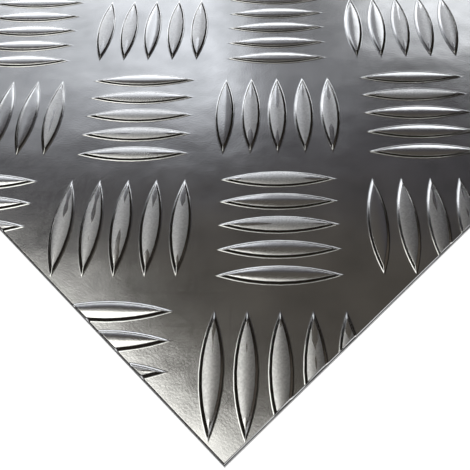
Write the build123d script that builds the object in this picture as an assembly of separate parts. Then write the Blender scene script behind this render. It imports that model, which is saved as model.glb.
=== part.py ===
from build123d import *
import os
from math import atan2, ceil, degrees

# Rolled aluminium checker plate with the five-bar pattern: a cut sheet that lies flat.
# Millimetres and degrees. X is the rolling direction, Z is up, and the origin is the middle
# of the flat underside. The near corner, at low X and low Y, is the one seen from the front.

# Sheet, sold as 1.5/2.0 plate: 1.5 without the bars and 2.0 over them
SHEET_LENGTH = 200.0
SHEET_WIDTH = 200.0
BASE_THICKNESS = 1.5

# One raised bar: a pointed lens with sloping flanks and a gently crowned top
BAR_HEIGHT = 0.5
BAR_LENGTH = 26.5
BAR_WIDTH = 4.7
FLANK_RUN = 0.78
CROWN_DROP = 0.10

# Groups of five parallel bars, on a square grid that is turned against the cut edges
BARS_PER_GROUP = 5
BAR_SPACING = 6.7
GROUP_PITCH = 35.4
PATTERN_ANGLE = -45.0

# Where the cut falls in the pattern: from the near corner to the middle of the nearest group
CORNER_TO_GROUP_ACROSS = 10.3
CORNER_TO_GROUP_ALONG = 17.7

ON_FLOOR = (Align.CENTER, Align.CENTER, Align.MIN)


def raised_bar():
    """One bar along X that stands on the plane z = 0."""
    # The foot is two equal arcs that meet in sharp tips.
    near_side = ThreePointArc((-BAR_LENGTH / 2, 0), (0, -BAR_WIDTH / 2), (BAR_LENGTH / 2, 0))
    far_side = ThreePointArc((BAR_LENGTH / 2, 0), (0, BAR_WIDTH / 2), (-BAR_LENGTH / 2, 0))
    foot = make_face([near_side, far_side])
    draft = degrees(atan2(FLANK_RUN, BAR_HEIGHT))
    flanks = extrude(foot, BAR_HEIGHT, taper=draft)
    # The top is part of a wide cylinder, so its long edges lie lower than its middle.
    half_top = BAR_WIDTH / 2 - FLANK_RUN
    crown_radius = (half_top**2 + CROWN_DROP**2) / (2 * CROWN_DROP)
    crown = Rot(0, 90, 0) * Cylinder(crown_radius, BAR_LENGTH)
    return flanks & (Pos(0, 0, BAR_HEIGHT - crown_radius) * crown)


def bar_places():
    """The place of every bar that can reach the sheet, with its X axis along the bar."""
    near_corner = Pos(-SHEET_LENGTH / 2, -SHEET_WIDTH / 2, BASE_THICKNESS)
    pattern = near_corner * Rot(0, 0, PATTERN_ANGLE)
    first_group = pattern * Pos(CORNER_TO_GROUP_ACROSS, CORNER_TO_GROUP_ALONG)
    reach = ceil((SHEET_LENGTH + SHEET_WIDTH) / GROUP_PITCH)
    places = []
    for column in range(-reach, reach + 1):
        for row in range(-reach, reach + 1):
            # The groups alternate like the squares of a chessboard.
            turn = 0 if (column + row) % 2 else 90
            group = first_group * Pos(column * GROUP_PITCH, row * GROUP_PITCH) * Rot(0, 0, turn)
            for number in range(BARS_PER_GROUP):
                step = (number - (BARS_PER_GROUP - 1) / 2) * BAR_SPACING
                places.append(group * Pos(0, step))
    return places


def bars_on_sheet(bar):
    """All bars, with those that cross a cut edge trimmed flush with it."""
    cut_space = Box(SHEET_LENGTH, SHEET_WIDTH, BASE_THICKNESS + BAR_HEIGHT, align=ON_FLOOR)
    bars = []
    for place in bar_places():
        middle = place.position
        length_left = SHEET_LENGTH / 2 - abs(middle.X)
        width_left = SHEET_WIDTH / 2 - abs(middle.Y)
        room = min(length_left, width_left)
        if room > BAR_LENGTH / 2:
            bars.append(place * bar)
        elif room > -BAR_LENGTH / 2:
            trimmed = (place * bar) & cut_space
            if trimmed is not None and trimmed.volume > 0:
                bars.append(trimmed)
    return bars


sheet = Box(SHEET_LENGTH, SHEET_WIDTH, BASE_THICKNESS, align=ON_FLOOR)
checker_plate = sheet + bars_on_sheet(raised_bar())
checker_plate.label = "checker_plate"

os.makedirs("parts", exist_ok=True)
export_step(checker_plate, "parts/checker_plate.step")
print("checker_plate", checker_plate.bounding_box().size, "volume", checker_plate.volume)
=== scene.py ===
# %% [markdown]
# # A cut of aluminium checker plate
# The real object is one sheet of rolled aluminium. A patterned roll presses raised bars into it, five side
# by side, and each group of five stands across its neighbours. This lesson rebuilds the sheet on the packed
# CAD part: Geometry Nodes lay out the tread, mesh code shears the edges, and shader nodes give the mill
# finish.

import math

import bmesh
import bpy
import numpy as np
from mathutils import Euler, Matrix, Vector


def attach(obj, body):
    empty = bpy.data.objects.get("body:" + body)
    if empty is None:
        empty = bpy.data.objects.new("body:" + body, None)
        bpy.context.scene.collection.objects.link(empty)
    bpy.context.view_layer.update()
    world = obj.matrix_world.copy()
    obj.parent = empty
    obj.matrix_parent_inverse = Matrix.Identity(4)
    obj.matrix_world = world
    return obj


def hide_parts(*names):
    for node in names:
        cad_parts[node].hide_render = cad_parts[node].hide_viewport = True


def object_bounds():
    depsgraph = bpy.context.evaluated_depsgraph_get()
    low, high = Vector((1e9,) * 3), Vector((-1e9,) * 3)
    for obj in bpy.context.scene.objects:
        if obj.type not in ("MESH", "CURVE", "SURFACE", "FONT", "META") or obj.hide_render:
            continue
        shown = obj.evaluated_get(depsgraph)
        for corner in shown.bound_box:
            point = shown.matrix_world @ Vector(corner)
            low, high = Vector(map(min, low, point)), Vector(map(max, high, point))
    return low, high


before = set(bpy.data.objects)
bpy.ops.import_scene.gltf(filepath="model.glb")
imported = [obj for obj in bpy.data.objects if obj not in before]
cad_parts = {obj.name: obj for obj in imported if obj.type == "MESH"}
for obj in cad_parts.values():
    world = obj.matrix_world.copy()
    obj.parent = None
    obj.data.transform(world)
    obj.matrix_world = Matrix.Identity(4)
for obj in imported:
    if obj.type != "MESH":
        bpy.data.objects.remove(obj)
cad_low, cad_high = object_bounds()
print("CAD box in mm:", [round(1000 * side, 3) for side in cad_high - cad_low])

# %% [markdown]
# ## Sizes
# Plate like this is sold by its gauge: 1.5 mm without the bars and 2.0 mm over them. The CAD part holds the
# same sizes, and they are repeated here in metres, because the bars are made again: with soft feet and
# shoulders, and with a crown that follows their pointed outline. A formula in named sizes beats a copied
# mesh: every length can be changed in one place.

# %% Sizes of the sheet and of its pattern
MM = 0.001
BASE_THICKNESS = 1.5 * MM
BAR_SIZES = {
    "Bar Length": 26.5 * MM,
    "Bar Width": 4.7 * MM,
    "Bar Height": 0.5 * MM,
    "Flank Run": 0.78 * MM,
    "Crown Drop": 0.10 * MM,
    "Foot Blend": 0.16 * MM,
    "Shoulder Blend": 0.03 * MM,
}
GROUP_SIZES = {"Bar Spacing": 6.7 * MM, "Group Pitch": 35.4 * MM}
BARS_PER_GROUP = 5
PATTERN_TURN = math.radians(-45)
CORNER_TO_GROUP = Vector((10.3 * MM, 17.7 * MM, 0))
print("thickness over the bars in mm:", (BASE_THICKNESS + BAR_SIZES["Bar Height"]) / MM)

# %% [markdown]
# ## Helpers for node trees
# Node trees are drawings of formulas. Four small helpers keep the script readable: one opens a tree with
# named sockets, one feeds a socket with a link or a plain value, one adds any node and one adds a Math
# node.


# %% Node helpers
def open_tree(name, kind, inputs, outputs):
    """A new node tree with its own sockets; gives the tree, what comes in and what goes out."""
    tree = bpy.data.node_groups.new(name, kind)
    for socket_name, socket_type in inputs:
        tree.interface.new_socket(socket_name, in_out="INPUT", socket_type=socket_type)
    for socket_name, socket_type in outputs:
        tree.interface.new_socket(socket_name, in_out="OUTPUT", socket_type=socket_type)
    return tree, tree.nodes.new("NodeGroupInput").outputs, tree.nodes.new("NodeGroupOutput").inputs


def feed(tree, socket, value):
    """Links an output to a socket, or sets the socket to a plain value."""
    if isinstance(value, bpy.types.NodeSocket):
        tree.links.new(value, socket)
    else:
        socket.default_value = value


def add(tree, kind, inputs=None, **settings):
    """A node with its settings made and its inputs fed, by name or by number."""
    node = tree.nodes.new(kind)
    for name, value in settings.items():
        setattr(node, name, value)
    for name, value in (inputs or {}).items():
        feed(tree, node.inputs[name], value)
    return node


def calc(tree, operation, *values):
    """One Math node; gives its result."""
    return add(tree, "ShaderNodeMath", dict(enumerate(values)), operation=operation).outputs[0]


FLOAT = "NodeSocketFloat"

# %% [markdown]
# ## The shape of one bar
# A bar is a pointed lens of two equal arcs. Rolling gives it sloping flanks, a gently crowned top, and soft
# turns where flank meets sheet and top. A height formula can say all of that: the flank rises with the
# distance from the foot's arc, the crown falls off from the middle line, and smooth minimum and maximum
# blend them. The group is used for the shape and again for its slope, so the shading follows the true
# surface.

# %% Height of a bar above the sheet
bar_height, given, result = open_tree(
    "bar_height",
    "GeometryNodeTree",
    [("Along", FLOAT), ("Across", FLOAT)] + [(name, FLOAT) for name in BAR_SIZES],
    [("Height", FLOAT), ("Inset", FLOAT), ("Arc Radius", FLOAT), ("Arc Offset", FLOAT)],
)
half_length = calc(bar_height, "MULTIPLY", given["Bar Length"], 0.5)
half_width = calc(bar_height, "MULTIPLY", given["Bar Width"], 0.5)
width_squared = calc(bar_height, "MULTIPLY", half_width, half_width)
chord_squared = calc(bar_height, "MULTIPLY_ADD", half_length, half_length, width_squared)
arc_radius = calc(bar_height, "DIVIDE", chord_squared, given["Bar Width"])
arc_offset = calc(bar_height, "SUBTRACT", arc_radius, half_width)

from_middle = calc(bar_height, "ABSOLUTE", given["Across"])
from_arc_middle = calc(bar_height, "ADD", from_middle, arc_offset)
along_squared = calc(bar_height, "MULTIPLY", given["Along"], given["Along"])
reach_squared = calc(bar_height, "MULTIPLY_ADD", from_arc_middle, from_arc_middle, along_squared)
inset = calc(bar_height, "SUBTRACT", arc_radius, calc(bar_height, "SQRT", reach_squared))
steepness = calc(bar_height, "DIVIDE", given["Bar Height"], given["Flank Run"])
flank = calc(bar_height, "MULTIPLY", inset, steepness)

half_top = calc(bar_height, "SUBTRACT", half_width, given["Flank Run"])
share = calc(bar_height, "DIVIDE", calc(bar_height, "SUBTRACT", half_width, inset), half_top)
fall = calc(bar_height, "MULTIPLY", calc(bar_height, "MULTIPLY", share, share), given["Crown Drop"])
crown = calc(bar_height, "SUBTRACT", given["Bar Height"], fall)
body = calc(bar_height, "SMOOTH_MIN", flank, crown, given["Shoulder Blend"])
height = calc(bar_height, "SMOOTH_MAX", body, 0.0, given["Foot Blend"])
outcome = {"Height": height, "Inset": inset, "Arc Radius": arc_radius, "Arc Offset": arc_offset}
for name, value in outcome.items():
    feed(bar_height, result[name], value)
print("bar_height has", len(bar_height.nodes), "nodes")

# %% [markdown]
# ## One group of five bars
# The tread repeats a square tile with five bars. Each bar is a strip of a plain grid whose rows are pulled
# onto rings round the bar, from the tile's own lines to the ridge, so a bar needs few faces and its outline
# stays a clean arc. The tile's lines have the same points on all four sides, so a turned neighbour fits
# point for point. Each point also keeps its bar's number, its own place on the bar and the true slope
# there, for the finish and the shading. A Boolean could join bars to a sheet, but it leaves slivers that
# spoil the mirror.

# %% Lines between the bars
line_place, given, result = open_tree(
    "line_place",
    "GeometryNodeTree",
    [("Line", FLOAT)] + [(name, FLOAT) for name in GROUP_SIZES],
    [("Place", FLOAT)],
)
LAST_LINE = BARS_PER_GROUP
side = calc(line_place, "SIGN", given["Line"])
is_last = calc(line_place, "GREATER_THAN", calc(line_place, "ABSOLUTE", given["Line"]), LAST_LINE - 0.5)
half_pitch = calc(line_place, "MULTIPLY", given["Group Pitch"], 0.5)
tile_edge = calc(line_place, "MULTIPLY", half_pitch, side)
half_spacing = calc(line_place, "MULTIPLY", given["Bar Spacing"], 0.5)
inner_line = calc(line_place, "MULTIPLY", half_spacing, given["Line"])
choice = {0: is_last, 1: inner_line, 2: tile_edge}
chosen = add(line_place, "GeometryNodeSwitch", choice, input_type="FLOAT")
feed(line_place, result["Place"], chosen.outputs[0])
print("line_place has", len(line_place.nodes), "nodes")

# %% The grid that becomes a group
half_bar = BAR_SIZES["Bar Width"] / 2
flank_slope = BAR_SIZES["Bar Height"] / BAR_SIZES["Flank Run"]
crown_bend = BAR_SIZES["Crown Drop"] / (half_bar - BAR_SIZES["Flank Run"]) ** 2
apex_height = flank_slope * half_bar
slope_change = math.sqrt(flank_slope**2 - 4 * crown_bend * (apex_height - BAR_SIZES["Bar Height"]))
shoulder = half_bar - (flank_slope - slope_change) / (2 * crown_bend)
shoulder_reach = BAR_SIZES["Shoulder Blend"] / slope_change
foot_reach = BAR_SIZES["Foot Blend"] / flank_slope
RING_INSETS = [shoulder + shoulder_reach] * 2 + [shoulder - shoulder_reach, foot_reach, -foot_reach, 0.0]
print("rings at insets in mm:", [round(inset / MM, 3) for inset in RING_INSETS])
BORDER = len(RING_INSETS) - 1
ROWS_PER_BAR = 2 * BORDER + 1
ROWS = BARS_PER_GROUP * ROWS_PER_BAR
HALF_COLUMNS = LAST_LINE + 1
SIZE_INPUTS = [(name, FLOAT) for name in [*BAR_SIZES, *GROUP_SIZES]]

tile, given, result = open_tree(
    "five_bar_group",
    "GeometryNodeTree",
    SIZE_INPUTS,
    [("Group", "NodeSocketGeometry")],
)
grid = add(
    tile,
    "GeometryNodeMeshGrid",
    {"Size X": 2 * HALF_COLUMNS, "Size Y": ROWS - 1, "Vertices X": 2 * HALF_COLUMNS + 1, "Vertices Y": ROWS},
)
counted = add(tile, "ShaderNodeSeparateXYZ", {0: add(tile, "GeometryNodeInputPosition").outputs[0]})
column = calc(tile, "ROUND", counted.outputs["X"])
row = calc(tile, "ROUND", calc(tile, "ADD", counted.outputs["Y"], (ROWS - 1) / 2))
bar_number = calc(tile, "FLOOR", calc(tile, "DIVIDE", calc(tile, "ADD", row, 0.5), ROWS_PER_BAR))
bar_step = calc(tile, "SUBTRACT", bar_number, (BARS_PER_GROUP - 1) / 2)
rows_before = calc(tile, "MULTIPLY", bar_number, ROWS_PER_BAR)
level = calc(tile, "SUBTRACT", calc(tile, "SUBTRACT", row, rows_before), BORDER)
side = calc(tile, "SIGN", level)
ring = calc(tile, "ABSOLUTE", level)
bar_middle = calc(tile, "MULTIPLY", bar_step, given["Bar Spacing"])
print("grid of a group:", 2 * HALF_COLUMNS + 1, "by", ROWS, "points")


# %% Rings round each bar
def sized(tree, group, source, inputs):
    """A group node that takes the sizes it knows from a tree's own inputs."""
    node = add(tree, "GeometryNodeGroup", node_tree=group)
    for socket in node.inputs:
        value = inputs[socket.name] if socket.name in inputs else source[socket.name]
        feed(tree, socket, value)
    return node.outputs


ring_number = add(tile, "FunctionNodeFloatToInt", {0: ring}, rounding_mode="ROUND").outputs[0]
ring_inset = add(tile, "GeometryNodeIndexSwitch", data_type="FLOAT")
while len(ring_inset.index_switch_items) < len(RING_INSETS):
    ring_inset.index_switch_items.new()
feed(tile, ring_inset.inputs["Index"], ring_number)
for number, ring_distance in enumerate(RING_INSETS):
    feed(tile, ring_inset.inputs[number + 1], ring_distance)
arcs = sized(tile, bar_height, given, {"Along": 0.0, "Across": 0.0})
ring_radius = calc(tile, "SUBTRACT", arcs["Arc Radius"], ring_inset.outputs[0])
radius_squared = calc(tile, "MULTIPLY", ring_radius, ring_radius)
offset_squared = calc(tile, "MULTIPLY", arcs["Arc Offset"], arcs["Arc Offset"])
tip = calc(tile, "SQRT", calc(tile, "SUBTRACT", radius_squared, offset_squared))
ring_share = calc(tile, "SINE", calc(tile, "MULTIPLY", column, math.radians(90) / HALF_COLUMNS))
ring_along = calc(tile, "MULTIPLY", tip, ring_share)
ring_square = calc(tile, "SUBTRACT", radius_squared, calc(tile, "MULTIPLY", ring_along, ring_along))
ring_half = calc(tile, "SUBTRACT", calc(tile, "SQRT", ring_square), arcs["Arc Offset"])
ring_across = calc(tile, "MULTIPLY", side, ring_half)
print("rings from the ridge to the tile's lines:", len(RING_INSETS))

# %% The tile's own lines, and the choice between ring and line
line_along = calc(tile, "MINIMUM", calc(tile, "MAXIMUM", column, -LAST_LINE), LAST_LINE)
is_inner = calc(tile, "LESS_THAN", calc(tile, "ABSOLUTE", column), HALF_COLUMNS - 0.5)
line_across = calc(tile, "MULTIPLY_ADD", bar_step, 2.0, calc(tile, "MULTIPLY", side, is_inner))
border_along = sized(tile, line_place, given, {"Line": line_along})["Place"]
border_line = sized(tile, line_place, given, {"Line": line_across})["Place"]
border_across = calc(tile, "SUBTRACT", border_line, bar_middle)
is_border = calc(tile, "GREATER_THAN", ring, BORDER - 0.5)
along_choice = {0: is_border, 1: ring_along, 2: border_along}
across_choice = {0: is_border, 1: ring_across, 2: border_across}
along = add(tile, "GeometryNodeSwitch", along_choice, input_type="FLOAT").outputs[0]
across = add(tile, "GeometryNodeSwitch", across_choice, input_type="FLOAT").outputs[0]
print("points on each side of a tile:", 2 * LAST_LINE + 1)


# %% Heights, and the slope that the shading uses
def mark_points(tree, geometry, name, kind, value):
    """Stores a value on every point under a name; gives the marked geometry."""
    store = add(
        tree,
        "GeometryNodeStoreNamedAttribute",
        {"Geometry": geometry, "Name": name, "Value": value},
        data_type=kind,
        domain="POINT",
    )
    return store.outputs["Geometry"]


def read_mark(tree, name, kind):
    """The value that was stored on the points under a name."""
    return add(tree, "GeometryNodeInputNamedAttribute", {"Name": name}, data_type=kind).outputs[0]


def bar_at(step_along, step_across):
    """What the bar measures at a point of the grid, or a small step beside it."""
    place = {
        "Along": calc(tile, "ADD", along, step_along),
        "Across": calc(tile, "ADD", across, step_across),
    }
    return sized(tile, bar_height, given, place)


def fall_between(step_along, step_across):
    """How much the bar falls from a step back to a step forward."""
    back = bar_at(-step_along, -step_across)["Height"]
    return calc(tile, "SUBTRACT", back, bar_at(step_along, step_across)["Height"])


SLOPE_STEP = 0.05 * MM
fall_along = fall_between(SLOPE_STEP, 0.0)
fall_across = fall_between(0.0, SLOPE_STEP)
upright = add(tile, "ShaderNodeCombineXYZ", {"X": fall_along, "Y": fall_across, "Z": 2 * SLOPE_STEP})
unit = add(tile, "ShaderNodeVectorMath", {0: upright.outputs[0]}, operation="NORMALIZE").outputs[0]
print("slope of the flanks in degrees:", round(math.degrees(math.atan(flank_slope)), 1))

# %% Marks for the shader, and the finished group
here = bar_at(0.0, 0.0)
half_bar_length = calc(tile, "MULTIPLY", given["Bar Length"], 0.5)
half_bar_width = calc(tile, "MULTIPLY", given["Bar Width"], 0.5)
bar_place = add(
    tile,
    "ShaderNodeCombineXYZ",
    {
        "X": calc(tile, "DIVIDE", along, half_bar_length),
        "Y": calc(tile, "DIVIDE", across, half_bar_width),
        "Z": calc(tile, "DIVIDE", here["Inset"], half_bar_width),
    },
)
marks = [
    ("rolled_normal", "FLOAT_VECTOR", unit),
    ("bar_place", "FLOAT_VECTOR", bar_place.outputs[0]),
    ("bar_number", "FLOAT", bar_number),
]
marked = grid.outputs["Mesh"]
for name, kind, value in marks:
    marked = mark_points(tile, marked, name, kind, value)
in_group = calc(tile, "ADD", across, bar_middle)
place = add(tile, "ShaderNodeCombineXYZ", {"X": along, "Y": in_group, "Z": here["Height"]})
shaped = add(tile, "GeometryNodeSetPosition", {"Geometry": marked, "Position": place.outputs[0]})
WELD = 2e-6
welded = add(tile, "GeometryNodeMergeByDistance", {"Geometry": shaped.outputs[0], "Distance": WELD})
EMPTY_AREA = 1e-12
area = add(tile, "GeometryNodeInputMeshFaceArea").outputs[0]
is_empty = calc(tile, "LESS_THAN", area, EMPTY_AREA)
cleaned = add(
    tile,
    "GeometryNodeDeleteGeometry",
    {"Geometry": welded.outputs[0], "Selection": is_empty},
    domain="FACE",
    mode="ALL",
)
feed(tile, result["Group"], cleaned.outputs[0])
print("five_bar_group has", len(tile.nodes), "nodes")

# %% [markdown]
# ## The mill finish
# Aluminium straight from the rolls is bright but not polished: fine lines run along the rolling direction,
# and the gloss is a little cloudy. Lines and clouds are on the rolled faces and on the cut sides alike, so
# they are one node group with named sizes, placed in both metals. Procedural noise in Object coordinates
# needs no picture and stays in place when the part moves.

# %% Rolling lines and clouds
VECTOR = "NodeSocketVector"
rolling, given, result = open_tree(
    "rolling_grain",
    "ShaderNodeTree",
    [("Place", VECTOR), ("Line Length", FLOAT), ("Line Width", FLOAT), ("Cloud Size", FLOAT)],
    [("Lines", FLOAT), ("Clouds", FLOAT)],
)
line_size = add(
    rolling,
    "ShaderNodeCombineXYZ",
    {"X": given["Line Length"], "Y": given["Line Width"], "Z": given["Line Width"]},
)
stretched = add(
    rolling,
    "ShaderNodeVectorMath",
    {0: given["Place"], 1: line_size.outputs[0]},
    operation="DIVIDE",
)
lines = add(
    rolling,
    "ShaderNodeTexNoise",
    {"Vector": stretched.outputs[0], "Scale": 1.0, "Detail": 3.0, "Roughness": 0.6},
)
cloud_scale = calc(rolling, "DIVIDE", 1.0, given["Cloud Size"])
clouds = add(
    rolling,
    "ShaderNodeTexNoise",
    {"Vector": given["Place"], "Scale": cloud_scale, "Detail": 2.0, "Roughness": 0.5},
)
feed(rolling, result["Lines"], lines.outputs[0])
feed(rolling, result["Clouds"], clouds.outputs[0])
print("rolling_grain has", len(rolling.nodes), "nodes")

# %% Helpers for the metals
MICRON = 1e-6
NOISE_RANGE = (0.3, 0.7)


def start_metal(name, grain_sizes, turn):
    """A metal with its shader, its place on the part and its rolling grain."""
    metal = bpy.data.materials.new(name)
    metal.use_nodes = True
    tree = metal.node_tree
    shader = tree.nodes["Principled BSDF"]
    shader.inputs["Metallic"].default_value = 1.0
    spot = add(tree, "ShaderNodeTexCoord").outputs["Object"]
    turned = add(tree, "ShaderNodeMapping", {"Vector": spot, "Rotation": turn}).outputs[0]
    grain = add(tree, "ShaderNodeGroup", node_tree=rolling)
    for socket_name, value in {"Place": turned, **grain_sizes}.items():
        feed(tree, grain.inputs[socket_name], value)
    return metal, tree, shader, spot, grain.outputs


def ranged(tree, value, start, end, low=0.0, high=1.0):
    """A value's climb from start to end, told as a climb from low to high and held there outside."""
    limits = {"Value": value, "From Min": start, "From Max": end, "To Min": low, "To Max": high}
    return add(tree, "ShaderNodeMapRange", limits).outputs[0]


def spread(tree, value, low, high):
    """Turns a noise value, which stays near one half, into a range."""
    return ranged(tree, value, *NOISE_RANGE, low, high)


def noise(tree, place, size, detail):
    """Plain noise with grains of about one size."""
    settings = {"Vector": place, "Scale": 1 / size, "Detail": detail}
    return add(tree, "ShaderNodeTexNoise", settings).outputs[0]


def mix_colours(tree, share, first, second):
    """A colour between two others, by a share from 0 to 1."""
    mix = add(tree, "ShaderNodeMix", {0: share, 6: first, 7: second}, data_type="RGBA")
    return mix.outputs[2]


def press_in(tree, shader, relief):
    """Gives a shader its relief, which is a height in microns."""
    bump = add(tree, "ShaderNodeBump", {"Strength": 1.0, "Distance": MICRON, "Height": relief})
    feed(tree, shader.inputs["Normal"], bump.outputs[0])


# %% [markdown]
# ## Rubbed bar tops
# The bars carry whatever slides over the plate, so many tops are rubbed matt, while the sheet between them
# keeps its gloss under a thin haze. From the tips of a rubbed bar, tongues of fresh metal reach in, dark
# and clear. For this the shader has to know where it is on a bar, so it reads two attributes that the tread
# brings along. bar_place runs from -1 to 1 along and across the bar, with the distance from the foot, in
# half widths, as its third number. bar_wear says how much the whole bar was rubbed. A painted picture could
# do it too, but it would blur from close by.

# %% Where a bar top is rubbed
ROLLED_GRAIN = {"Line Length": 3.0 * MM, "Line Width": 0.22 * MM, "Cloud Size": 12.0 * MM}
PATCH_SIZE = 9.0 * MM
TONGUE_STARTS = (-0.1, 0.95)
TONGUE_WIDENING = 0.6
TONGUE_HALF_WIDTH = 0.26
TONGUE_EDGE = 0.03
WEAR_LIMITS = (0.17, 0.19)
mill, tree, shader, spot, grain = start_metal("mill_finish", ROLLED_GRAIN, (0, 0, 0))
bar_place = add(tree, "ShaderNodeAttribute", attribute_name="bar_place").outputs["Vector"]
bar = add(tree, "ShaderNodeSeparateXYZ", {0: bar_place}).outputs
on_crown = ranged(tree, bar["Z"], shoulder / half_bar, (shoulder + shoulder_reach) / half_bar)
tongue_start = spread(tree, noise(tree, spot, PATCH_SIZE, 1.0), *TONGUE_STARTS)
tongue_reach = calc(tree, "SUBTRACT", calc(tree, "ABSOLUTE", bar["X"]), tongue_start)
tongue_half = calc(tree, "MULTIPLY", tongue_reach, TONGUE_WIDENING)
tongue_half = calc(tree, "MINIMUM", tongue_half, TONGUE_HALF_WIDTH)
tongue_inside = calc(tree, "SUBTRACT", tongue_half, calc(tree, "ABSOLUTE", bar["Y"]))
tongue = add(
    tree,
    "ShaderNodeMapRange",
    {"Value": tongue_inside, "From Min": -TONGUE_EDGE, "From Max": TONGUE_EDGE},
    interpolation_type="SMOOTHSTEP",
).outputs[0]
bar_wear = add(tree, "ShaderNodeAttribute", attribute_name="bar_wear").outputs["Fac"]
rubbed = calc(tree, "MULTIPLY", on_crown, calc(tree, "SUBTRACT", 1.0, tongue))
rubbed = calc(tree, "MULTIPLY", rubbed, ranged(tree, bar_wear, *WEAR_LIMITS))
print("the crown starts", round(shoulder / MM, 2), "mm inside the foot")

# %% Gloss of the sheet and of the rubbed tops
FLAT_GLOSS = (0.13, 0.17)
RUBBED_GLOSS = (0.34, 0.29)
GRIT_SIZE = 0.45 * MM
flat_gloss = spread(tree, grain["Lines"], *FLAT_GLOSS)
grit = noise(tree, spot, GRIT_SIZE, 2.0)
rubbed_gloss = spread(tree, grit, *RUBBED_GLOSS)
extra = calc(tree, "MULTIPLY", calc(tree, "SUBTRACT", rubbed_gloss, flat_gloss), rubbed)
feed(tree, shader.inputs["Roughness"], calc(tree, "ADD", flat_gloss, extra))
print("roughness of the sheet:", FLAT_GLOSS, "and of rubbed tops:", RUBBED_GLOSS)

# %% Colour, with haze on the sheet and dark grit on the rubbed tops
HAZED = (0.72, 0.725, 0.73, 1)
CLEAN = (0.96, 0.962, 0.965, 1)
GRIT_SHADE = 0.22
clean_share = calc(tree, "MAXIMUM", spread(tree, grain["Clouds"], 0.0, 1.0), on_crown)
bare_colour = mix_colours(tree, clean_share, HAZED, CLEAN)
shade = calc(tree, "MULTIPLY", rubbed, spread(tree, grit, GRIT_SHADE, 0.0))
left_light = calc(tree, "SUBTRACT", 1.0, shade)
colour = add(tree, "ShaderNodeVectorMath", {0: bare_colour, "Scale": left_light}, operation="SCALE")
feed(tree, shader.inputs["Base Color"], colour.outputs[0])
print("grit takes up to", GRIT_SHADE, "of the light from a rubbed top")

# %% Relief of lines, clouds and speckle, in microns
LINE_RELIEF = 0.8
CLOUD_RELIEF = 90.0
FLAT_SPECKLE = 7.0
RUBBED_SPECKLE = 0.8
SPECKLE_SIZE = 0.5 * MM
speckle = noise(tree, spot, SPECKLE_SIZE, 2.0)
relief = calc(tree, "MULTIPLY", grain["Lines"], LINE_RELIEF)
relief = calc(tree, "MULTIPLY_ADD", grain["Clouds"], CLOUD_RELIEF, relief)
speckle_height = calc(tree, "MULTIPLY_ADD", rubbed, RUBBED_SPECKLE - FLAT_SPECKLE, FLAT_SPECKLE)
relief = calc(tree, "MULTIPLY_ADD", speckle, speckle_height, relief)
press_in(tree, shader, relief)
print("mill_finish has", len(tree.nodes), "nodes")

# %% [markdown]
# ## The sheared side
# A blade slides through the upper part of a sheet and leaves it smeared and smooth. Then the lower part
# breaks off, and stays light. The upper part is painted nearly black here: painted shade for the dark room
# that its smooth metal mirrors. So the colour of the side changes at a height that wanders with the clouds,
# and the lines of the same grain run down the side, as the blade moved. Metal seen at a low angle shines
# more. Specular Tint takes that back here, because a sheared side is too rough for it.

# %% Sheared metal, for the cut sides
SHEARED_GRAIN = {"Line Length": 1.2 * MM, "Line Width": 0.10 * MM, "Cloud Size": 4.0 * MM}
UPENDED = (0, math.radians(90), 0)
BREAK_WANDER = 0.4 * MM
BREAK_LIMITS = (1.05 * MM, 1.25 * MM)
# the smeared upper part is painted nearly black: painted shade for the dark room it mirrors, not its own
# colour
SLID_PAINTED_SHADE = (0.10, 0.10, 0.10, 1)
BROKEN = (0.62, 0.62, 0.625, 1)
SHEARED_GLOSS = (0.45, 0.65)
SHEARED_LINE_RELIEF = 4.0
SHEARED_CLOUD_RELIEF = 20.0
sheared, tree, shader, spot, grain = start_metal("sheared_edge", SHEARED_GRAIN, UPENDED)
side_height = add(tree, "ShaderNodeSeparateXYZ", {0: spot}).outputs["Z"]
break_height = calc(tree, "MULTIPLY_ADD", grain["Clouds"], BREAK_WANDER, side_height)
# share of the painted shade on the upper part, which ends at a height that wanders with the clouds
slid_shade_share = ranged(tree, break_height, *BREAK_LIMITS)
feed(tree, shader.inputs["Base Color"], mix_colours(tree, slid_shade_share, BROKEN, SLID_PAINTED_SHADE))
shader.inputs["Specular Tint"].default_value = (0.35, 0.35, 0.35, 1)
feed(tree, shader.inputs["Roughness"], spread(tree, grain["Lines"], *SHEARED_GLOSS))
relief = calc(tree, "MULTIPLY", grain["Lines"], SHEARED_LINE_RELIEF)
relief = calc(tree, "MULTIPLY_ADD", grain["Clouds"], SHEARED_CLOUD_RELIEF, relief)
press_in(tree, shader, relief)
print("sheared_edge has", len(tree.nodes), "nodes")

# %% [markdown]
# ## The tread, group by group
# On the sheet the groups stand like the squares of a chessboard: every second one is turned a quarter.
# Instance on Points does that in one node, with the turn worked out from the square's column and row.
# Realize Instances makes real faces of them, and Merge by Distance welds the tiles into one skin. Each
# square also carries its number and how much its row was walked on, for the wear that follows.

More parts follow.
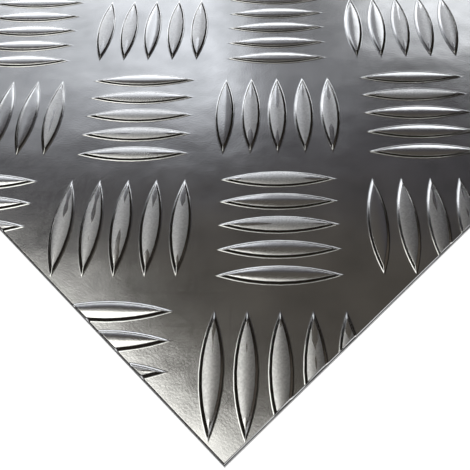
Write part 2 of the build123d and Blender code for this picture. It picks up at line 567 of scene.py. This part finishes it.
# %% Lay out the groups
GROUP_COLUMNS = 9
GROUP_ROWS = 8
LAST_WORN_ROW = 2.0
FAR_WEAR = 0.4
tread, given, result = open_tree(
    "five_bar_tread",
    "GeometryNodeTree",
    SIZE_INPUTS + [("Metal", "NodeSocketMaterial")],
    [("Tread", "NodeSocketGeometry")],
)
group = sized(tread, tile, given, {})["Group"]
squares = add(
    tread,
    "GeometryNodeMeshGrid",
    {
        "Size X": calc(tread, "MULTIPLY", given["Group Pitch"], GROUP_COLUMNS - 1),
        "Size Y": calc(tread, "MULTIPLY", given["Group Pitch"], GROUP_ROWS - 1),
        "Vertices X": GROUP_COLUMNS,
        "Vertices Y": GROUP_ROWS,
    },
)
square = add(tread, "ShaderNodeSeparateXYZ", {0: add(tread, "GeometryNodeInputPosition").outputs[0]})
square_column = calc(tread, "DIVIDE", square.outputs["X"], given["Group Pitch"])
rows_up = calc(tread, "DIVIDE", square.outputs["Y"], given["Group Pitch"])
square_row = calc(tread, "ADD", rows_up, (GROUP_ROWS - 1) / 2)
square_sum = calc(tread, "ROUND", calc(tread, "ADD", square_column, square_row))
is_even = calc(tread, "SUBTRACT", 1.0, calc(tread, "FLOORED_MODULO", square_sum, 2.0))
quarter = calc(tread, "MULTIPLY", is_even, math.radians(90))
square_number = calc(tread, "MULTIPLY_ADD", square_row, GROUP_COLUMNS, square_column)
marked = mark_points(tread, squares.outputs["Mesh"], "quarter_turn", "FLOAT", quarter)
marked = mark_points(tread, marked, "square_number", "FLOAT", square_number)
walked = ranged(tread, square_row, LAST_WORN_ROW, LAST_WORN_ROW + 1, 1.0, FAR_WEAR)
marked = mark_points(tread, marked, "walked", "FLOAT", walked)
quarter_turn = read_mark(tread, "quarter_turn", "FLOAT")
spin = add(tread, "ShaderNodeCombineXYZ", {"Z": quarter_turn}).outputs[0]
laid = add(tread, "GeometryNodeInstanceOnPoints", {"Points": marked, "Instance": group, "Rotation": spin})
realized = add(tread, "GeometryNodeRealizeInstances", {"Geometry": laid.outputs[0]})
skin = add(tread, "GeometryNodeMergeByDistance", {"Geometry": realized.outputs[0], "Distance": WELD})
print("groups laid out:", GROUP_COLUMNS * GROUP_ROWS)

# %% Turn the pattern against the sheet and hand it out
half_rows = calc(tread, "MULTIPLY", given["Group Pitch"], (GROUP_ROWS - 1) / 2)
first_row = calc(tread, "ADD", half_rows, CORNER_TO_GROUP.y)
from_corner = add(tread, "ShaderNodeCombineXYZ", {"X": CORNER_TO_GROUP.x, "Y": first_row}).outputs[0]
started = add(tread, "GeometryNodeTransform", {"Geometry": skin.outputs[0], "Translation": from_corner})
near_corner = Vector((cad_low.x, cad_low.y, cad_low.z + BASE_THICKNESS))
turned = add(
    tread,
    "GeometryNodeTransform",
    {"Geometry": started.outputs[0], "Rotation": (0, 0, PATTERN_TURN), "Translation": near_corner},
)
tile_normal = read_mark(tread, "rolled_normal", "FLOAT_VECTOR")
whole_turn = calc(tread, "ADD", quarter_turn, PATTERN_TURN)
sheet_normal = add(
    tread,
    "ShaderNodeVectorRotate",
    {"Vector": tile_normal, "Angle": whole_turn},
    rotation_type="Z_AXIS",
)
kept = mark_points(tread, turned.outputs[0], "rolled_normal", "FLOAT_VECTOR", sheet_normal.outputs[0])
print("near corner of the sheet in mm:", [round(value / MM, 2) for value in near_corner])

# %% [markdown]
# ## Wear, bar by bar
# No two bars are rubbed alike. Random Value gives each bar one number between 0 and 1: the ID is the bar's
# own number in the sheet, so all points of a bar get the same, and the seed is fixed, so every run gives
# the same plate. Bars that lie across the way are rubbed less than those along it, and the far rows less
# than the near ones.

# %% A chance of wear for every bar
WEAR_SEED = 5
CROSSWISE_WEAR = 0.28
in_group = read_mark(tread, "bar_number", "FLOAT")
in_sheet = calc(tread, "MULTIPLY_ADD", read_mark(tread, "square_number", "FLOAT"), BARS_PER_GROUP, in_group)
bar_code = add(tread, "FunctionNodeFloatToInt", {0: in_sheet}, rounding_mode="ROUND").outputs[0]
draw = {"ID": bar_code, "Seed": WEAR_SEED}
chance = add(tread, "FunctionNodeRandomValue", draw, data_type="FLOAT").outputs[1]
wear_gain = (1 - CROSSWISE_WEAR) / math.radians(90)
wear_share = calc(tread, "MULTIPLY_ADD", quarter_turn, wear_gain, CROSSWISE_WEAR)
wear_share = calc(tread, "MULTIPLY", wear_share, read_mark(tread, "walked", "FLOAT"))
worn = mark_points(tread, kept, "bar_wear", "FLOAT", calc(tread, "MULTIPLY", chance, wear_share))
coated = add(tread, "GeometryNodeSetMaterial", {"Geometry": worn, "Material": given["Metal"]})
feed(tread, result["Tread"], coated.outputs[0])
print("five_bar_tread has", len(tread.nodes), "nodes")

# %% Run the tree and keep a plain mesh
tread_sheet = bpy.data.objects.new("tread_sheet", bpy.data.meshes.new("tread_blank"))
bpy.context.scene.collection.objects.link(tread_sheet)
modifier = tread_sheet.modifiers.new("five_bar_tread", "NODES")
modifier.node_group = tread
values = {**BAR_SIZES, **GROUP_SIZES, "Metal": mill}
for item in tread.interface.items_tree:
    if item.in_out == "INPUT":
        modifier[item.identifier] = values[item.name]
depsgraph = bpy.context.evaluated_depsgraph_get()
tread_mesh = bpy.data.meshes.new_from_object(
    tread_sheet.evaluated_get(depsgraph), preserve_all_data_layers=True, depsgraph=depsgraph
)
tread_sheet.modifiers.remove(modifier)
print("metals of the tread:", [metal and metal.name for metal in tread_mesh.materials])
print("tread before shearing:", len(tread_mesh.vertices), "points,", len(tread_mesh.polygons), "faces")

# %% [markdown]
# ## Shear the sheet to size
# A guillotine cuts plate straight through sheet and bars. The blade drags the top edge down into a small
# roll-over, and leaves a plain side with a thin bottom edge. Bisecting the skin along four planes makes the
# cut, and rings of faces sewn to its rim make roll-over, side and bottom edge, so bars that cross the cut
# keep their outline on the side.

# %% Cut along the four sides
ROLL_OVER = 0.36 * MM
BOTTOM_EDGE = 0.08 * MM
CUT_TOLERANCE = 1e-7
RIM_TOLERANCE = 1e-6
sheet_mesh = bmesh.new()
sheet_mesh.from_mesh(tread_mesh)
sides = [Vector((1, 0, 0)), Vector((-1, 0, 0)), Vector((0, 1, 0)), Vector((0, -1, 0))]
middle = (cad_low + cad_high) / 2
half_size = (cad_high - cad_low) / 2
for outward in sides:
    reach = abs(outward.dot(half_size)) - ROLL_OVER
    bmesh.ops.bisect_plane(
        sheet_mesh,
        geom=sheet_mesh.verts[:] + sheet_mesh.edges[:] + sheet_mesh.faces[:],
        dist=CUT_TOLERANCE,
        plane_co=middle + outward * reach,
        plane_no=outward,
        clear_outer=True,
    )
print("faces inside the cut:", len(sheet_mesh.faces))

# %% Sew the sheared edge to the rim
normal_at = sheet_mesh.verts.layers.float_vector["rolled_normal"]
finish_normal = sheet_mesh.loops.layers.float_vector.new("finish_normal")
ROLLED, CUT = 0, 1
for face in sheet_mesh.faces:
    face.material_index = ROLLED
    for loop in face.loops:
        loop[finish_normal] = loop.vert[normal_at]
rim_loops = [edge.link_loops[0] for edge in sheet_mesh.edges if edge.is_boundary]
rim = {loop.vert: loop.link_loop_next.vert for loop in rim_loops}
print("rim of the cut:", len(rim), "edges")

UP = Vector((0, 0, 1))
TOP_TURNS = [math.radians(angle) for angle in (0, 25, 50, 90)]
BOTTOM_TURNS = [math.radians(angle) for angle in (90, 135, 180)]


def outward_of(vert):
    """How far a rim point's corner reaches outward: one side, or two at a corner of the sheet."""
    reach = Vector((0, 0, 0))
    for outward in sides:
        if outward.dot(vert.co - middle) > abs(outward.dot(half_size)) - ROLL_OVER - RIM_TOLERANCE:
            reach += outward
    return reach


rings = {}
for vert in rim:
    reach = outward_of(vert)
    ring = [vert]
    for turn in TOP_TURNS[1:]:
        fall = ROLL_OVER * (1 - math.cos(turn))
        ring.append(sheet_mesh.verts.new(vert.co + reach * ROLL_OVER * math.sin(turn) - UP * fall))
    for turn in BOTTOM_TURNS:
        point = vert.co + reach * (ROLL_OVER - BOTTOM_EDGE * (1 - math.sin(turn)))
        point.z = cad_low.z + BOTTOM_EDGE * (1 + math.cos(turn))
        ring.append(sheet_mesh.verts.new(point))
    rings[vert] = ring
turns = TOP_TURNS + BOTTOM_TURNS
print("points round each rim point:", len(turns))

# %% Faces of the sheared edge and of the underside
for start, end in rim.items():
    outward = next(s for s in sides if s.dot(outward_of(start)) > 0.5 and s.dot(outward_of(end)) > 0.5)
    for step in range(len(turns) - 1):
        corners = [(end, step), (start, step), (start, step + 1), (end, step + 1)]
        face = sheet_mesh.faces.new([rings[vert][number] for vert, number in corners])
        face.material_index = ROLLED if step < len(TOP_TURNS) - 2 else CUT
        for corner, (vert, number) in zip(face.loops, corners):
            upright = vert[normal_at] if number < len(TOP_TURNS) else UP
            turn = turns[number]
            corner[finish_normal] = (outward * math.sin(turn) + upright * math.cos(turn)).normalized()

walk = [next(iter(rim))]
while rim[walk[-1]] is not walk[0]:
    walk.append(rim[walk[-1]])
underside = sheet_mesh.faces.new([rings[vert][-1] for vert in reversed(walk)])
for corner in underside.loops:
    corner[finish_normal] = -UP
for face in sheet_mesh.faces:
    face.smooth = True
open_edges = sum(1 for edge in sheet_mesh.edges if not edge.is_manifold)
print("open edges:", open_edges, " volume in cubic mm:", round(sheet_mesh.calc_volume() / MM**3))

# %% Hand the mesh to the piece, shaded by its true slopes
plate_mesh = bpy.data.meshes.new("tread_sheet")
sheet_mesh.to_mesh(plate_mesh)
sheet_mesh.free()
plate_mesh.materials.append(mill)
plate_mesh.materials.append(sheared)
slopes = np.empty(3 * len(plate_mesh.loops), dtype=np.float32)
plate_mesh.attributes["finish_normal"].data.foreach_get("vector", slopes)
plate_mesh.normals_split_custom_set(slopes.reshape(-1, 3).tolist())
for name in ("finish_normal", "rolled_normal", "quarter_turn", "bar_number", "square_number", "walked"):
    plate_mesh.attributes.remove(plate_mesh.attributes[name])
tread_sheet.data = plate_mesh
bpy.data.meshes.remove(tread_mesh)
plate_mesh.calc_loop_triangles()
print("tread_sheet:", len(plate_mesh.polygons), "faces,", len(plate_mesh.loop_triangles), "triangles")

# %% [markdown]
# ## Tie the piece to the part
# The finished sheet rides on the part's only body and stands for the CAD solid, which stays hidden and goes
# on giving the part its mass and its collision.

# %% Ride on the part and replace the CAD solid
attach(tread_sheet, "root")
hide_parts("checker_plate")
print("tread_sheet stands for checker_plate")

# %% [markdown]
# ## White floor
# The plate lies on white. A matt floor keeps the plate's shadow, and a glow that only camera, glossy and
# transmission rays meet lifts it to white, in the view and in the metal alike. More lamps could do that
# too, but they would also burn out the plate.

# %% White floor that keeps the shadow
FLOOR_HALF = 6.0
FLOOR_GAP = 0.05 * MM
FLOOR_COLOUR = (0.8, 0.8, 0.8, 1)
FLOOR_GLOW = 0.88
floor_level = cad_low.z - FLOOR_GAP
corner_signs = [(-1, -1), (1, -1), (1, 1), (-1, 1)]
floor_corners = [(x * FLOOR_HALF, y * FLOOR_HALF, floor_level) for x, y in corner_signs]
floor_mesh = bpy.data.meshes.new("floor")
floor_mesh.from_pydata(floor_corners, [], [(0, 1, 2, 3)])
floor = bpy.data.objects.new("floor", floor_mesh)
bpy.context.scene.collection.objects.link(floor)
white = bpy.data.materials.new("white_floor")
white.use_nodes = True
floor_mesh.materials.append(white)
tree = white.node_tree
tree.nodes.clear()
ray = add(tree, "ShaderNodeLightPath").outputs
mirrored = calc(tree, "MAXIMUM", ray["Is Glossy Ray"], ray["Is Transmission Ray"])
seen = calc(tree, "MAXIMUM", ray["Is Camera Ray"], mirrored)
matt = add(tree, "ShaderNodeBsdfDiffuse", {"Color": FLOOR_COLOUR}).outputs[0]
glow = add(tree, "ShaderNodeEmission", {"Strength": calc(tree, "MULTIPLY", seen, FLOOR_GLOW)}).outputs[0]
both = add(tree, "ShaderNodeAddShader", {0: matt, 1: glow}).outputs[0]
add(tree, "ShaderNodeOutputMaterial", {"Surface": both})
print("floor is", 2 * FLOOR_HALF, "m wide")

# %% [markdown]
# ## Studio
# Bright metal has hardly a colour of its own: what is seen on it is the room. So the room is drawn with
# care, as soft light boxes in a dim surrounding, and each one is given by the directions it fills as seen
# from the plate. Lamps could do this too, but a world has no distance, so a box stands at the same angle
# over the whole sheet. The camera sees a white page in every direction. The metal mirrors that page only as
# high as a low sweep behind the floor would stand: with white all round, a mirror would have nothing to
# show but white.

# %% Directions in the studio, in degrees
ACROSS_VIEW = Vector((1, -1, 0)).normalized()
AWAY = Vector((1, 1, 0)).normalized()
world = bpy.data.worlds.new("studio")
world.use_nodes = True
bpy.context.scene.world = world
tree = world.node_tree
tree.nodes.clear()
look = add(tree, "ShaderNodeTexCoord").outputs["Generated"]


def reach_along(axis):
    """How far a direction of one unit reaches along an axis."""
    product = add(tree, "ShaderNodeVectorMath", {0: look, 1: axis}, operation="DOT_PRODUCT")
    return product.outputs["Value"]


def past(value, edge, soft):
    """0 before an edge and 1 after it, with a soft step between."""
    step = add(
        tree,
        "ShaderNodeMapRange",
        {"Value": value, "From Min": edge - soft, "From Max": edge + soft},
        interpolation_type="SMOOTHSTEP",
    )
    return step.outputs[0]


def inside(value, low, high, soft):
    """1 between two edges and 0 outside them."""
    return calc(tree, "SUBTRACT", past(value, low, soft), past(value, high, soft))


def light_box(left, right, low, high, soft):
    """How much of a light box fills a direction, by azimuth from the back and by elevation."""
    return calc(tree, "MULTIPLY", inside(azimuth, left, right, soft), inside(elevation, low, high, soft))


to_right = reach_along(ACROSS_VIEW)
to_back = reach_along(AWAY)
to_top = add(tree, "ShaderNodeSeparateXYZ", {0: look}).outputs["Z"]
azimuth = calc(tree, "DEGREES", calc(tree, "ARCTAN2", to_right, to_back))
elevation = calc(tree, "DEGREES", calc(tree, "ARCSINE", to_top))
print("the back of the studio lies along", [round(value, 2) for value in AWAY])

# %% Plain boxes: left, right, low and high edge, softness and colour
BOXES = {
    "gap in the back light": (-6, 10, 31, 44, 3.0, (0.16, 0.165, 0.175)),
    "low row": (-38, 5, 11, 30, 3.0, (1.35, 1.38, 1.43)),
    "low row, right end": (5, 25, 21, 30, 2.0, (1.35, 1.38, 1.43)),
    "box at the right": (9.5, 27, 30, 36.5, 2.0, (1.05, 1.08, 1.12)),
    "brown wall": (57, 84, 2, 36, 5.0, (0.05, 0.042, 0.034)),
    "fill at the right": (86, 125, 6, 50, 4.0, (0.75, 0.75, 0.76)),
}
lights = [(light_box(*edges), colour) for *edges, colour in BOXES.values()]
print("plain boxes:", ", ".join(BOXES))

# %% The light at the back, which slants and fades out to the left
BACK_SIDES = (-60, -3)
BACK_HEIGHTS = (31, 43.8)
BACK_SLANT = -0.1
BACK_FADE = (-42, -9)
back_height = calc(tree, "MULTIPLY_ADD", azimuth, BACK_SLANT, elevation)
back_light = calc(tree, "MULTIPLY", inside(azimuth, *BACK_SIDES, 3.0), ranged(tree, azimuth, *BACK_FADE))
back_light = calc(tree, "MULTIPLY", back_light, inside(back_height, *BACK_HEIGHTS, 4.0))
lights.append((back_light, (0.84, 0.875, 0.93)))
print("light at the back between", *BACK_HEIGHTS, "degrees")

# %% The light overhead, which ends at a slanted edge and is dimmer at the zenith
OVERHEAD_EDGE = (-1.0, -0.147, 0.267)
EDGE_STEP = (0.015, 0.02)
FRONT_STEP = (-0.04, 0.06)
OVERHEAD_LOW = 46
LEFT_END = -38.0
LEFT_RISE = 0.6
ZENITH = 76
ZENITH_DIMMING = 0.75
past_left_end = calc(tree, "MINIMUM", calc(tree, "SUBTRACT", azimuth, LEFT_END), 0.0)
overhead_height = calc(tree, "MULTIPLY_ADD", past_left_end, LEFT_RISE, elevation)
overhead = calc(tree, "MULTIPLY", past(reach_along(OVERHEAD_EDGE), *EDGE_STEP), past(to_back, *FRONT_STEP))
overhead = calc(tree, "MULTIPLY", overhead, past(overhead_height, OVERHEAD_LOW, 3))
dimmed = calc(tree, "MULTIPLY_ADD", past(elevation, ZENITH, 4), -ZENITH_DIMMING, 1.0)
lights.append((calc(tree, "MULTIPLY", overhead, dimmed), (1.22, 1.21, 1.14)))
print("light overhead from", OVERHEAD_LOW, "degrees up")

# %% Dim walls, a wing at the left and a fill from the front
FAR_STEP = (0.05, 0.25)
WALL_SIDES = (-60, 39)
WALL_LOW = 38
WARM_LOW = 51
WING_SIDES = (-75, -24)
WING_LOW = 53
FILL_FROM_BACK = 125
FILL_HEIGHTS = (3, 40)
far_side = calc(tree, "MULTIPLY", past(to_back, *FAR_STEP), inside(azimuth, *WALL_SIDES, 4.0))
cool_wall = calc(tree, "MULTIPLY", inside(elevation, WALL_LOW, WARM_LOW, 4), far_side)
warm_wall = calc(tree, "MULTIPLY", past(elevation, WARM_LOW, 4), far_side)
left_wing = calc(tree, "MULTIPLY", inside(azimuth, *WING_SIDES, 3.0), past(elevation, WING_LOW, 2))
from_back = calc(tree, "ABSOLUTE", azimuth)
front_fill = calc(tree, "MULTIPLY", past(from_back, FILL_FROM_BACK, 5), inside(elevation, *FILL_HEIGHTS, 4))
lights.append((cool_wall, (0.037, 0.0365, 0.043)))
lights.append((warm_wall, (0.055, 0.050, 0.043)))
lights.append((left_wing, (0.28, 0.28, 0.27)))
lights.append((front_fill, (0.45, 0.45, 0.46)))
print("the walls turn warm at", WARM_LOW, "degrees up")

# %% Add up the room, and put the white page behind the plate
DIM_ROOM = (0.011, 0.009, 0.007)
SWEEP_TOP = 3.0
room = DIM_ROOM
for share, colour in lights:
    lit = add(tree, "ShaderNodeVectorMath", {0: colour, "Scale": share}, operation="SCALE").outputs[0]
    room = add(tree, "ShaderNodeVectorMath", {0: room, 1: lit}, operation="ADD").outputs[0]
studio = add(tree, "ShaderNodeBackground", {"Color": room, "Strength": 1.0}).outputs[0]
page = add(tree, "ShaderNodeBackground", {"Color": (1, 1, 1, 1), "Strength": 1.0}).outputs[0]
ray = add(tree, "ShaderNodeLightPath").outputs
mirrored = calc(tree, "MAXIMUM", ray["Is Glossy Ray"], ray["Is Transmission Ray"])
sweep = calc(tree, "SUBTRACT", 1.0, past(elevation, SWEEP_TOP, 1.0))
seen = calc(tree, "MAXIMUM", ray["Is Camera Ray"], calc(tree, "MULTIPLY", mirrored, sweep))
shown = add(tree, "ShaderNodeMixShader", {0: seen, 1: studio, 2: page}).outputs[0]
add(tree, "ShaderNodeOutputWorld", {"Surface": shown})
bpy.context.scene.view_settings.view_transform = "Standard"
print("studio has", len(lights), "lights")

# %% [markdown]
# ## Camera
# The view comes from fitting a pinhole camera to the tips of the bars: their places on the sheet are known,
# so their places in the view give lens, height, heading and tilt.

# %% Camera at the fitted place
camera_data = bpy.data.cameras.new("camera")
camera_data.sensor_width = 36.0
camera_data.lens = 50.81
camera_data.shift_x = -0.036
camera_data.clip_start = 0.005
camera = bpy.data.objects.new("camera", camera_data)
bpy.context.scene.collection.objects.link(camera)
CAMERA_PLACE = Vector((-119.81, -131.67, 119.44)) * MM
LOOK_DOWN = 53.64
HEADING = 47.70
ROLL = 2.53
aim = Euler((math.radians(90 - LOOK_DOWN), 0, math.radians(HEADING - 90))).to_matrix().to_4x4()
lean = Matrix.Rotation(math.radians(-ROLL), 4, "Z")
stand = Matrix.Translation(CAMERA_PLACE)
camera.matrix_world = stand @ aim @ lean
bpy.context.scene.camera = camera
print("camera at", [round(1000 * value) for value in camera.matrix_world.translation], "mm")
